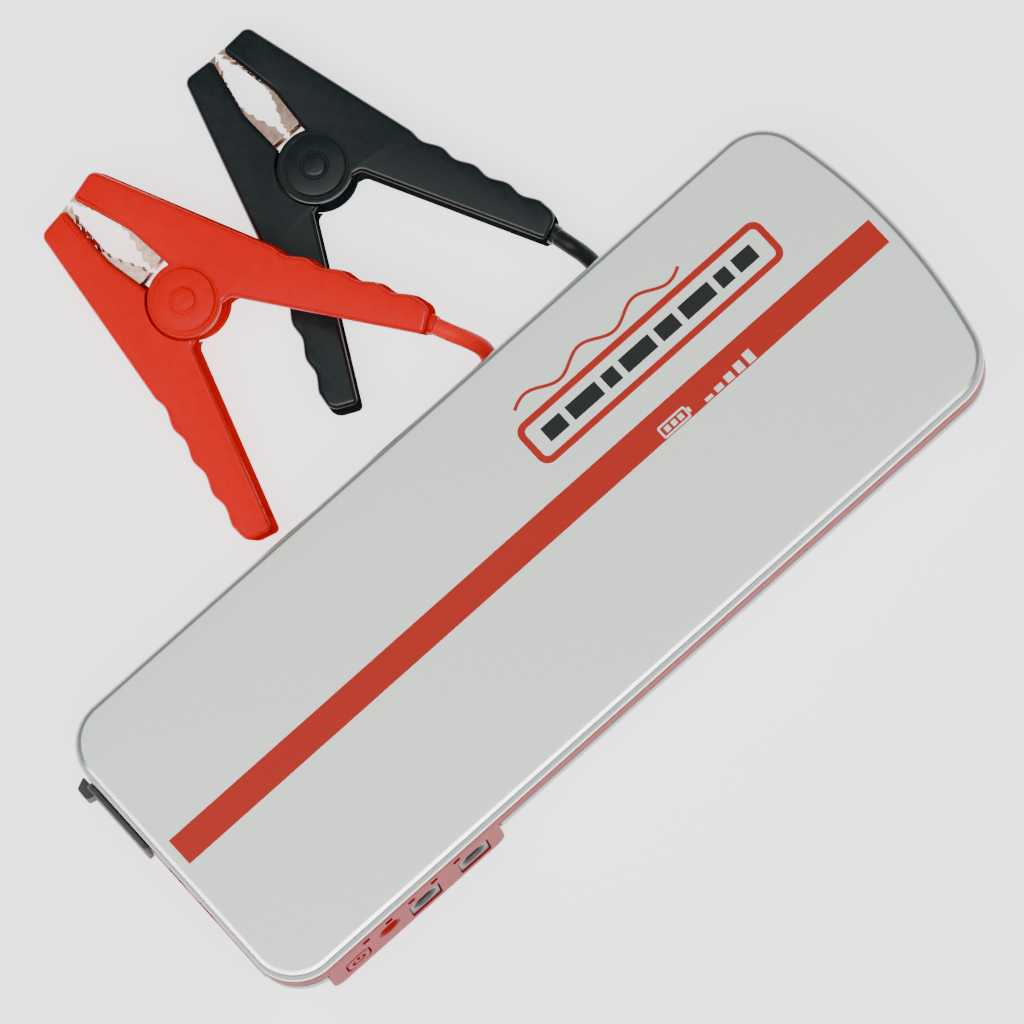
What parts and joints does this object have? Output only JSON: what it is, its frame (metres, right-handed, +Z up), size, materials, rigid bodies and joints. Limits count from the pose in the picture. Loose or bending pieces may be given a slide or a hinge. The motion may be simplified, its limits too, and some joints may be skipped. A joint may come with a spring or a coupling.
{
  "type": "jump starter pack",
  "caption": "Slim car jump starter pack with round-cornered silver case, port blocks, capped lead socket and a pair of sprung battery clamps on short plug leads.",
  "frame": {"origin": "centre of the flat underside of the pack", "axes": "+X along the pack to its curved end, +Y to the long side that the clamps lie beside, +Z up"},
  "size_m": [0.2335, 0.1902, 0.029],
  "materials": {
    "silver_paint": "fine metallic silver paint, satin",
    "red_plastic": "moulded red, satin",
    "screw_steel": "zinc plated",
    "lens": "tinted torch lens",
    "reflector": "bright",
    "dark_plastic": "moulded, satin",
    "port_steel": "nickel plated",
    "contact_brass": "plated brass",
    "cap_rubber": "matt moulded rubber",
    "circuit_board": "solder mask",
    "cell_film": "shrink film",
    "foam": "soft foam sheet",
    "red_clamp_plastic": "glossy moulded",
    "black_clamp_plastic": "glossy moulded",
    "red_lead_rubber": "soft silicone sleeve",
    "black_lead_rubber": "soft silicone sleeve",
    "jaw_copper": "copper plated, bright",
    "pin_steel": "plated"
  },
  "bodies": {
    "pack": {"black_crimp": "pin_steel", "black_fixed_handle": "black_clamp_plastic", "black_fixed_jaw": "jaw_copper", "black_hub_disc_lower": "black_clamp_plastic", "black_hub_disc_upper": "black_clamp_plastic", "black_lead": "black_lead_rubber", "black_pivot_pin": "pin_steel", "black_plug_pin": "contact_brass", "black_plug_shell": "black_clamp_plastic", "black_spring": "pin_steel", "black_strain_relief": "black_clamp_plastic", "bottom_cover": "silver_paint", "busbar_negative": "contact_brass", "busbar_positive": "contact_brass", "button_switch": "dark_plastic", "cell_1": "cell_film", "cell_2": "cell_film", "cell_3": "cell_film", "control_board": "circuit_board", "foam_pad": "foam", "input_jack": "dark_plastic", "jump_socket": "dark_plastic", "output_jack": "dark_plastic", "port_board": "circuit_board", "red_crimp": "pin_steel", "red_fixed_handle": "red_clamp_plastic", "red_fixed_jaw": "jaw_copper", "red_hub_disc_lower": "red_clamp_plastic", "red_hub_disc_upper": "red_clamp_plastic", "red_lead": "red_lead_rubber", "red_pivot_pin": "pin_steel", "red_plug_pin": "contact_brass", "red_plug_shell": "red_clamp_plastic", "red_spring": "pin_steel", "red_strain_relief": "red_clamp_plastic", "screw_1": "screw_steel", "screw_2": "screw_steel", "screw_3": "screw_steel", "screw_4": "screw_steel", "side_frame": "red_plastic", "socket_contact_negative": "contact_brass", "socket_contact_positive": "contact_brass", "top_cover": "silver_paint", "torch_lens": "lens", "torch_reflector": "reflector", "usb_port_1": "port_steel", "usb_port_2": "port_steel"},
    "black_moving_half": {"black_moving_handle": "black_clamp_plastic", "black_moving_jaw": "jaw_copper"},
    "button": {"power_button": "red_plastic"},
    "red_moving_half": {"red_moving_handle": "red_clamp_plastic", "red_moving_jaw": "jaw_copper"},
    "cap": {"socket_cap": "cap_rubber"}
  },
  "joints": [
    {"name": "red_clamp_squeeze", "type": "hinge", "parent": "pack", "child": "red_moving_half", "pos_m": [-0.02025, 0.1046, 0.0146], "axis": [-0.217, -0.0655, 0.974], "range_deg": [0, 22], "stiffness_Nm_per_rad": 0.6, "springref_deg": -40.11, "deforming": ["red_spring"]},
    {"name": "black_clamp_squeeze", "type": "hinge", "parent": "pack", "child": "black_moving_half", "pos_m": [0.0243, 0.1097, 0.0074], "axis": [-0.0523, -0.0009, 0.9986], "range_deg": [0, 18], "stiffness_Nm_per_rad": 0.6, "springref_deg": -40.11, "deforming": ["black_spring"]},
    {"name": "power_button_press", "type": "slide", "parent": "pack", "child": "button", "axis": [0, 1, 0], "range_m": [0, 0.0008], "stiffness_N_per_m": 400},
    {"name": "socket_cap_open", "type": "hinge", "parent": "pack", "child": "cap", "pos_m": [-0.11505, 0.0096, 0.0136], "axis": [0, 0, 1], "range_deg": [0, 95]}
  ]
}
